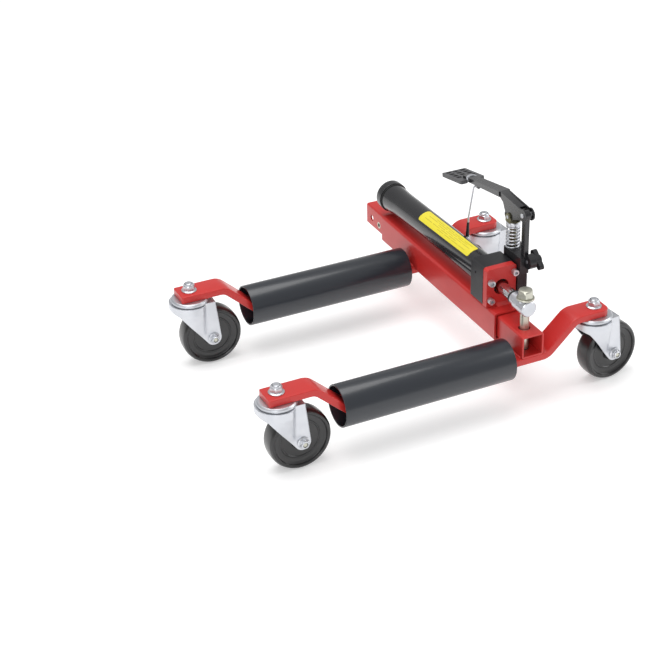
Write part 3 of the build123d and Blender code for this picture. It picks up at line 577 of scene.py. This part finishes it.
def forkSheet(name, kingpin, trail, top):
    # side walls: half width = leg + (crown circle - leg) * cone(height) * fade(along), rows run from crown
    # to axle
    f = forkShape
    length = math.hypot(trail[0], trail[1])
    along = np.array([trail[0], trail[1], 0]) / length
    across = np.array([-along[1], along[0], 0])
    axleZ, endR, crown, leg = trail[2], f["legEnd"], f["crown"], f["legHalf"]
    skirtZ = top - f["skirt"]
    z = np.concatenate([np.linspace(top, skirtZ, 8), np.linspace(skirtZ - 0.0005, skirtZ - 0.0055, 10),
                        np.linspace(skirtZ - 0.008, axleZ, 26),
                        axleZ - endR * np.sin(np.linspace(0.08, np.pi / 2, 14))])
    u0 = sideLine(z, (length, axleZ), endR, (f["frontCorner"], skirtZ - 0.0055), -1)
    lip = np.interp(z, [skirtZ - 0.0055, skirtZ - 0.0015, skirtZ], [f["frontCorner"], -0.0320, -crown])
    u0 = np.where(z > skirtZ - 0.0055, lip, u0)
    u1 = sideLine(z, (length, axleZ), endR, (f["rearTop"], top), 1)
    step = np.linspace(0, 1, 33)
    spread = 0.5 * (step ** 1.8 + step)
    u = u0[:, None] + (u1 - u0)[:, None] * spread[None]
    circle = np.sqrt(np.maximum(crown ** 2 - u ** 2, 0))
    fade = np.clip((0.0215 - u) / 0.009, 0, 1)
    fade = fade * fade * (3 - 2 * fade)
    cone = np.clip((z - f["flareLow"]) / (skirtZ - 0.0035 - f["flareLow"]), 0, 1)[:, None]
    half = leg + (circle - leg) * cone * fade
    foot = np.array([kingpin[0], kingpin[1], 0.0])
    rise = np.array([0, 0, 1.0])
    grids = []
    for sign in (-1, 1):
        wall = foot + u[..., None] * along + sign * half[..., None] * across + z[:, None, None] * rise
        grids.append((wall, False, False, False, False))
    span = np.linspace(-1, 1, 21)
    roofHalf = (half[0][:, None] * span[None])[..., None]
    roof = foot + u[0][:, None, None] * along + roofHalf * across + top * rise
    grids.append((roof, False, False, False, False))
    piece = buildPiece(name, grids, 40)
    rounding = piece.modifiers.new("crownEdge", "BEVEL")
    rounding.width, rounding.segments, rounding.angle_limit = f["edge"], 4, math.radians(55)
    rounding.limit_method = "ANGLE"
    wall = piece.modifiers.new("sheet", "SOLIDIFY")
    wall.thickness, wall.offset = f["sheet"], -1
    return piece


def hexRows(place, axis, flats, rows):
    # radius round a nut: flats/2 over cos of the angle from the nearest flat, held inside each row's limit
    turn = np.linspace(0, 2 * np.pi, 96, endpoint=False)
    hexR = flats / 2 / np.cos((turn + np.pi / 6) % (np.pi / 3) - np.pi / 6)
    first, second = crossFrame(axis)
    ring = np.cos(turn)[:, None] * first + np.sin(turn)[:, None] * second
    radius = np.array([np.minimum(hexR, r) if six else np.full(96, r) for r, _, six in rows])
    heights = np.array([height for _, height, _ in rows])
    return np.asarray(place, float) + heights[:, None, None] * unit(axis) + radius[..., None] * ring[None]


def nutGrid(place, axis, flats, height, flange, flangeHeight, bore):
    # rows of (limit, height, six-sided): flange, chamfered hexagon, lock collar, and back down the bore
    corner = flats / 2 / math.cos(math.pi / 6)
    low = flangeHeight
    rows = [(bore, 0.0, 0), (flange - 0.0004, 0.0, 0), (flange, 0.0004, 0), (flange, low * 0.6, 0),
            (flange - 0.0012, low, 0), (corner, low + 0.0006, 1), (corner, height - 0.0022, 1),
            (corner * 0.965, height - 0.0010, 1), (flats / 2 * 0.94, height, 1),
            (flats / 2 * 0.90, height, 0),
            (flats / 2 * 0.88, height + 0.0016, 0), (flats / 2 * 0.80, height + 0.0024, 0),
            (bore + 0.0004, height + 0.0024, 0), (bore, height - 0.0002, 0)]
    return hexRows(place, axis, flats, rows), True, True, False, False


def headGrid(place, axis, flats, height):
    # a plain bolt head: hexagon with a chamfer top and bottom
    corner = flats / 2 / math.cos(math.pi / 6)
    rows = [(flats / 2 * 0.93, 0.0, 1), (corner, 0.0012, 1), (corner, height - 0.0008, 1),
            (flats / 2 * 0.96, height, 1)]
    return hexRows(place, axis, flats, rows), False, True, True, True


def threadGrid(place, axis, radius, length, pitch, chamfer=0.0012):
    # radius = nominal - ridge * distance from the crest of a helix: fraction of (height/pitch - turn)
    turn = np.linspace(0, 2 * np.pi, 48, endpoint=False)
    heights = np.linspace(0, length, int(length / pitch * 8) + 2)
    phase = (heights[:, None] / pitch - turn[None] / (2 * np.pi)) % 1.0
    ridge = pitch * 0.42 * np.abs(phase * 2 - 1)
    taper = np.clip((heights - (length - chamfer)) / chamfer, 0, 1)[:, None] * chamfer * 0.8
    first, second = crossFrame(axis)
    ring = np.cos(turn)[:, None] * first + np.sin(turn)[:, None] * second
    reach = (radius - ridge - taper)[..., None] * ring[None]
    return np.asarray(place, float) + heights[:, None, None] * unit(axis) + reach, False, True, True, True


def rodGrid(start, end, radius, sides=48):
    # a plain round rod between two points
    return tube([start, (np.asarray(start, float) + end) / 2, end], radius, sides), False, True, True, True


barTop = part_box("front_bar")[1].z
armUnder = barTop - barShape["thick"]
for c in corners:
    end = c.split("_")[0]
    carrier = "slider" if end == "front" else "root"
    swivel, spin = joints[c + "_caster_swivel"], joints[c + "_wheel_spin"]
    kingpin, axle, axleDir = np.array(swivel["pos_m"]), np.array(spin["pos_m"]), unit(spin["axis"])
    wheelPiece = wheelSurface(c + "_wheel_moulding", axle, axleDir)
    onBody(wheelPiece, c + "_wheel_body", "wheel_black", wheelBlack, c + "_wheel")
    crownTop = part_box(c + "_fork")[1].z
    trail = (axle[0] - kingpin[0], axle[1] - kingpin[1], axle[2])
    onBody(forkSheet(c + "_fork_pressing", kingpin, trail, crownTop), c + "_swivel", "zinc", zincPlate,
           c + "_fork")
    r = raceShape
    rim = r["radius"] - r["sheet"]
    raceRows = [(r["bore"], armUnder - 0.0025), (r["bore"], armUnder), (r["radius"] - 0.0025, armUnder),
                (r["radius"], armUnder - 0.0022), (r["radius"], crownTop + 0.0008), (rim, crownTop + 0.0008),
                (rim, armUnder - 0.0026)]
    raceLine = roundedLine(raceRows, [0, 0, 0.0010, 0.0018, 0.0006, 0.0004, 0.0010], steps=5, closed=True)
    raceSkin = revolved(raceLine, (kingpin[0], kingpin[1], 0), (0, 0, 1), 96)
    onBody(buildPiece(c + "_race_cover", [(raceSkin, True, True, False, False)], 40), carrier, "zinc",
           zincPlate)
    k = kingpinShape
    above = np.array([kingpin[0], kingpin[1], barTop])
    nut = nutGrid(above, (0, 0, 1), k["flats"], k["nutHeight"], k["flange"], k["flangeHeight"],
                  k["shank"] + 0.0001)
    onBody(buildPiece(c + "_kingpin_nut", [nut], 22), carrier, "zinc", zincPlate)
    pinLow, pinHigh = (corner.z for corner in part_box(end + "_kingpin_bolts"))
    headPlace = np.array([kingpin[0], kingpin[1], pinLow])
    shankEnd = above - np.array([0, 0, 0.0002])
    boltParts = [headGrid(headPlace, (0, 0, 1), k["flats"], k["headHeight"]),
                 rodGrid(headPlace + np.array([0, 0, 0.001]), shankEnd, k["shank"] - 0.00005),
                 threadGrid(above, (0, 0, 1), k["shank"], pinHigh - barTop, k["pitch"])]
    onBody(buildPiece(c + "_kingpin_bolt", boltParts, 26), carrier, "zinc", zincPlate)
    a = axleShape
    half = forkShape["legHalf"] + 0.0001
    nearFace, farFace = axle - axleDir * half, axle + axleDir * half
    axleParts = [nutGrid(nearFace, -axleDir, a["flats"], a["nutHeight"], a["flange"], a["flangeHeight"],
                         a["shank"] + 0.0001),
                 headGrid(farFace, axleDir, a["flats"], a["nutHeight"]),
                 rodGrid(axle - axleDir * (half - 0.003), axle + axleDir * (half - 0.003), a["sleeve"])]
    onBody(buildPiece(c + "_axle_fastener", axleParts, 26), c + "_swivel", "zinc", zincPlate, c + "_axle")
    endThread = threadGrid(nearFace, -axleDir, a["shank"], a["nutHeight"] + 0.0010, a["pitch"], 0.0008)
    onBody(buildPiece(c + "_axle_thread", [endThread], 26), c + "_swivel", "zinc", yellowZinc)

for end in ("front", "rear"):
    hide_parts(end + "_caster_races")
    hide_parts(end + "_kingpin_nuts")
    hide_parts(end + "_kingpin_bolts")

print("reservoir")
reservoirShape = {"frontZ": 0.175, "neckZ": 0.1643, "rearZ": 0.1625, "frontR": 0.0205, "neckR": 0.0228,
                  "rearR": 0.0245, "neckBack": 0.036, "lowerZ": 0.165, "lowerBack": 0.056, "edge": 0.0012}
capShape = {"radius": 0.0270, "neck": 0.0220, "groove": 0.0030, "round": 0.0040, "dish": 0.0190,
            "dishDepth": 0.0010}
labelShape = {"front": 0.030, "length": 0.168, "fromAngle": 80.0, "toAngle": 146.0, "lift": 0.00028,
              "rows": ((94.0, 0.06, 0.80), (103.0, 0.14, 0.92), (112.0, 0.06, 0.70), (121.0, 0.30, 0.94),
                       (130.0, 0.10, 0.66)),
              "rowWide": 1.6, "dashes": 4, "dashGap": 0.0035, "inkLift": 0.00012}
shellLow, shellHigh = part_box("reservoir_shell")
tubeX = (shellLow.x + shellHigh.x) / 2


def shellStation(y):
    # middle height and radius of the upper body: straight between its front, its neck and its rear
    s = reservoirShape
    stations = [shellLow.y, shellHigh.y - s["neckBack"], shellHigh.y]
    return (np.interp(y, stations, [s["frontZ"], s["neckZ"], s["rearZ"]]),
            np.interp(y, stations, [s["frontR"], s["neckR"], s["rearR"]]))


def shellGrid(y, angle, lift):
    # point at middle + (radius + lift) * (cos, sin) of its angle from +X
    z, radius = shellStation(y)
    reach = (radius + lift)[:, None]
    points = np.stack([tubeX + reach * np.cos(angle)[None], np.repeat(y[:, None], len(angle), 1),
                       z[:, None] + reach * np.sin(angle)[None]], -1)
    return points


s = reservoirShape
round8 = np.linspace(0, np.pi / 2, 6)
yUpper = np.concatenate([shellLow.y + s["edge"] * (1 - np.cos(round8)), np.linspace(shellLow.y + 0.006,
                         shellHigh.y - s["neckBack"] - 0.01, 40),
                         np.linspace(shellHigh.y - s["neckBack"], shellHigh.y, 14)])
drawIn = np.zeros_like(yUpper)
drawIn[:6] = -s["edge"] * (1 - np.sin(round8))
fullTurn = np.linspace(0, 2 * np.pi, 128, endpoint=False)
upperSkin = shellGrid(yUpper, fullTurn, drawIn)
lowerLine = roundedLine([(0.0, 0.0), (s["frontR"], 0.0),
                         (s["frontR"], shellHigh.y - s["lowerBack"] - shellLow.y),
                         (0.0, shellHigh.y - s["lowerBack"] - shellLow.y)], s["edge"], steps=5)[1:-1]
lowerSkin = revolved(lowerLine, (tubeX, shellLow.y, s["lowerZ"]), (0, 1, 0), 128)
shellPiece = buildPiece("reservoir_body", [(upperSkin, False, True, True, True),
                                           (lowerSkin, False, True, True, True)], 32)
onBody(shellPiece, "root", "hydraulic_black", blackEnamel, "reservoir_shell")

q = capShape
capLow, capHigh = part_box("reservoir_cap")
capLength = capHigh.y - capLow.y
capLine = [(0.0002, 0), (q["neck"], 0), (q["neck"], q["groove"]), (q["radius"], q["groove"]),
           (q["radius"], capLength), (q["dish"] + 0.001, capLength), (q["dish"], capLength - q["dishDepth"]),
           (0.0002, capLength - q["dishDepth"])]
capRound = [0, 0, 0.0004, 0.0009, q["round"], 0.0006, 0.0008, 0]
capSkin = revolved(roundedLine(capLine, capRound, steps=7), (tubeX, capLow.y, s["rearZ"]), (0, 1, 0), 128)
onBody(buildPiece("reservoir_end_cap", [(capSkin, False, True, True, True)], 34), "root", "hydraulic_black",
       blackEnamel, "reservoir_cap")


def shellPatch(name, y0, y1, a0, a1, lift, material, corner=0.004):
    # a thin patch on the shell: half its width shrinks by r - sqrt(r^2 - (r - d)^2) within a corner radius
    # of its ends
    y = np.unique(np.concatenate([np.linspace(y0, y1, 40), y0 + np.linspace(0, corner, 8),
                                  y1 - np.linspace(0, corner, 8)]))
    radius = shellStation(y)[1]
    d = np.clip(np.minimum(y - y0, y1 - y), 0, corner)
    shrink = (corner - np.sqrt(np.maximum(corner ** 2 - (corner - d) ** 2, 0))) / radius
    middle, half = math.radians((a0 + a1) / 2), math.radians((a1 - a0) / 2)
    span = np.linspace(-1, 1, 33)
    angle = middle + (half - shrink)[:, None] * span[None]
    z = shellStation(y)[0]
    grids = []
    for level in (lift, lift * 0.3):
        reach = (radius + level)[:, None]
        points = np.stack([tubeX + reach * np.cos(angle), np.repeat(y[:, None], len(span), 1),
                           z[:, None] + reach * np.sin(angle)], -1)
        grids.append(points)
    rim = np.concatenate([grids[0][0], grids[0][1:, -1], grids[0][-1, -2::-1], grids[0][-2:0:-1, 0]])
    rimLow = np.concatenate([grids[1][0], grids[1][1:, -1], grids[1][-1, -2::-1], grids[1][-2:0:-1, 0]])
    piece = buildPiece(name, [(grids[0], False, False, False, False), (grids[1], False, False, False, False),
                              (np.stack([rim, rimLow]), False, True, False, False)], 40)
    return onBody(piece, "root", "hydraulic_black", material)


p = labelShape
labelFront = shellLow.y + p["front"]
shellPatch("reservoir_label", labelFront, labelFront + p["length"], p["fromAngle"], p["toAngle"], p["lift"],
           labelYellow)
for row, (angle, start, stop) in enumerate(p["rows"]):
    cuts = labelFront + p["length"] * np.linspace(start, stop, p["dashes"] + 1)
    for dash in range(p["dashes"]):
        shellPatch("label_dash_%d_%d" % (row, dash), cuts[dash], cuts[dash + 1] - p["dashGap"], angle,
                   angle + p["rowWide"],
                   p["lift"] + p["inkLift"], labelInk, 0.0003)

print("spring")
springShape = {"wire": 0.0015, "radius": 0.01035, "turns": 7.0, "sides": 12, "keep": 0.675}
springLow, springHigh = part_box("return_spring")
springX, springY = (springLow.x + springHigh.x) / 2, (springLow.y + springHigh.y) / 2
turnCount = springShape["turns"]
t = np.linspace(0, turnCount, int(turnCount * 44) + 1)
pitch = (springHigh.z - springLow.z - 2 * springShape["wire"]) / (turnCount - 1.0)
# a helix whose first and last turn lie nearly flat: height climbs only between them
climb = np.interp(t, [0, 0.5, turnCount - 0.5, turnCount],
                  [0, 0.12, turnCount - 1.12, turnCount - 1.0]) * pitch
coilPath = np.stack([springX + springShape["radius"] * np.cos(2 * np.pi * t),
                     springY + springShape["radius"] * np.sin(2 * np.pi * t),
                     springLow.z + springShape["wire"] + climb], 1)
coilSkin = tube(coilPath, springShape["wire"], springShape["sides"])
coil = buildPiece("return_spring_coil", [(coilSkin, False, True, True, True)], 40)
onBody(coil, "root", "zinc", zincPlate, "return_spring")
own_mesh(coil)

print("welds")
weldShape = {"radius": 0.0032, "thin": 0.0024, "ripple": 0.10, "pitch": 0.0042, "plateInset": 0.006}


def weldBead(name, start, end, body, radius=weldShape["radius"]):
    # a rod with rounded ends whose radius swells and shrinks along it: r * (1 + ripple * |sin(pi * s /
    # pitch)|)
    start, end = np.asarray(start, float), np.asarray(end, float)
    length = np.linalg.norm(end - start)
    along = np.linspace(0, 1, int(length / weldShape["pitch"] * 8) + 9)
    ripple = 1 + weldShape["ripple"] * (np.abs(np.sin(np.pi * along * length / weldShape["pitch"])) - 0.5)
    fromEnd = np.minimum(along, 1 - along) * length
    ends = np.sqrt(np.clip(1 - (1 - np.clip(fromEnd / radius, 0, 1)) ** 2, 0.01, 1))
    path = start[None] + along[:, None] * (end - start)[None]
    piece = buildPiece(name, [(tube(path, radius * ripple * ends, 16), False, True, True, True)], 50)
    return onBody(piece, body, "red_paint", redPaint)


outerLow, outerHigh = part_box("outer_tube")
rearLow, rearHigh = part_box("rear_bar")
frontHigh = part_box("front_bar")[1]
innerLow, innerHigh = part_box("inner_tube")
plateLow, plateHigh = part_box("mounting_plate")
seamZ = rearLow.z + barShape["thick"]
for sideName, x in (("left", outerLow.x), ("right", outerHigh.x)):
    weldBead("rear_bar_weld_" + sideName, (x, rearLow.y + 0.003, seamZ), (x, rearHigh.y - 0.003, seamZ),
             "root")
for sideName, x in (("left", innerLow.x), ("right", innerHigh.x)):
    weldBead("front_bar_weld_" + sideName, (x, innerLow.y + 0.004, innerLow.z),
             (x, frontHigh.y - 0.003, innerLow.z),
             "slider", weldShape["thin"])
for sideName, x in (("left", plateLow.x + weldShape["plateInset"]),
                    ("right", plateHigh.x - weldShape["plateInset"])):
    weldBead("plate_weld_" + sideName, (x, plateHigh.y - 0.011, outerHigh.z),
             (x, plateHigh.y - 0.001, outerHigh.z), "root")

print("pump")
hookShape = {"sleeveTop": -0.0660, "sleeveLow": -0.0925, "topR": 0.0021, "lowR": 0.0031}
lug = joints["hook_swing"]["pos_m"]
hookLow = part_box("hold_down_hook")[0]
hookX = hookLow.x + 0.0016
sleeveTop = np.array([hookX, lug[1] + 0.0060, lug[2] + hookShape["sleeveTop"]])
sleeveLow = np.array([hookX, lug[1] + 0.0075, lug[2] + hookShape["sleeveLow"]])
sleevePath = sleeveTop + np.linspace(0, 1, 12)[:, None] * (sleeveLow - sleeveTop)
sleeveR = np.linspace(hookShape["topR"], hookShape["lowR"], 12)
sleeveSkin = tube(sleevePath, sleeveR, 20)
onBody(buildPiece("hook_sleeve", [(sleeveSkin, False, True, True, True)], 40), "hook", "black_plastic",
       bushBlack)

# pale band over the arm at the pad, a painted highlight where the arm's curved end meets the pad: height =
# foot + rise * sqrt(sin), bowed towards the pad by sin
highlightBandShape = {"front": -0.0010, "bow": 0.0070, "wide": 0.0055, "thick": 0.0013, "foot": 0.2745,
               "rise": 0.0047,
               "reach": 0.0098}
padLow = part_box("foot_pad")[0]
lean = np.linspace(0, np.pi, 25)
arch = np.sqrt(np.sin(lean).clip(0, 1))
highlightBandX = joints["hook_swing"]["pos_m"][0] + 0.0002 + highlightBandShape["reach"] * np.cos(lean)
highlightBandY = padLow.y + highlightBandShape["front"] + highlightBandShape["bow"] * np.sin(lean)
highlightBandZ = highlightBandShape["foot"] + highlightBandShape["rise"] * arch
highlightBandPath = np.stack([highlightBandX, highlightBandY, highlightBandZ], 1)
highlightBandSection = roundedLine([(-0.5, -0.5), (0.5, -0.5), (0.5, 0.5), (-0.5, 0.5)], 0.12, steps=3, closed=True)
highlightBandSection = highlightBandSection * np.array([highlightBandShape["wide"], highlightBandShape["thick"]])
highlightBandSkin = swept(highlightBandPath, highlightBandSection, (0, 1, 0))
onBody(buildPiece("pad_collar", [(highlightBandSkin, False, True, True, True)], 40), "lever", "zinc", zincPlate)

print("carried over")
carried = {
    "front_roller_bushes": bushBlack, "rear_roller_bushes": bushBlack, "cross_pin": yellowZinc,
    "front_caster_balls": brightSteel, "rear_caster_balls": brightSteel, "ram_rod": brightSteel,
    "ram_piston": brightSteel, "piston_seal": sealRubber, "ram_stop_ring": sealRubber, "ram_gland": darkSteel,
    "cylinder_liner": brightSteel, "valve_ball": brightSteel, "block_plug": darkSteel, "cap_ring": sealRubber,
    "plunger_pin": zincPlate, "valve_stem": zincPlate, "valve_plug": zincPlate, "hold_down_hook": zincPlate,
}
for node, material in carried.items():
    if node not in frame["nodes"]:
        continue
    slots = frame["nodes"][node].data.materials
    slots.clear()
    slots.append(material)

# node, edge width, finish and record slot of the CAD pieces that only get rounded edges
roundedPieces = (
    ("outer_tube", 0.0006, redPaint, "red_paint"), ("inner_tube", 0.0006, redPaint, "red_paint"),
    ("mounting_plate", 0.0010, redPaint, "red_paint"), ("pump_block", 0.0012, castBlack, "hydraulic_black"),
    ("fulcrum_post", 0.0008, blackEnamel, "hydraulic_black"),
                 ("foot_lever", 0.0008, blackEnamel, "hydraulic_black"),
    ("foot_pad", 0.0005, padGrey, "black_plastic"), ("plate_screws", 0.0004, zincPlate, "zinc"),
    ("ram_eye", 0.0008, zincPlate, "zinc"), ("eye_washer", 0.0006, yellowZinc, "zinc"),
    ("eye_bolt", 0.0005, yellowZinc, "zinc"), ("eye_nut", 0.0005, yellowZinc, "zinc"),
    ("wing_knob", 0.0014, castBlack, "hydraulic_black"), ("spring_seat", 0.0004, zincPlate, "zinc"),
    ("pump_plunger", 0.0005, oliveZinc, "brass"), ("lever_pin", 0.0005, zincPlate, "zinc"),
)
for node, width, material, slotName in roundedPieces:
    softened(node, width, material, slotName)
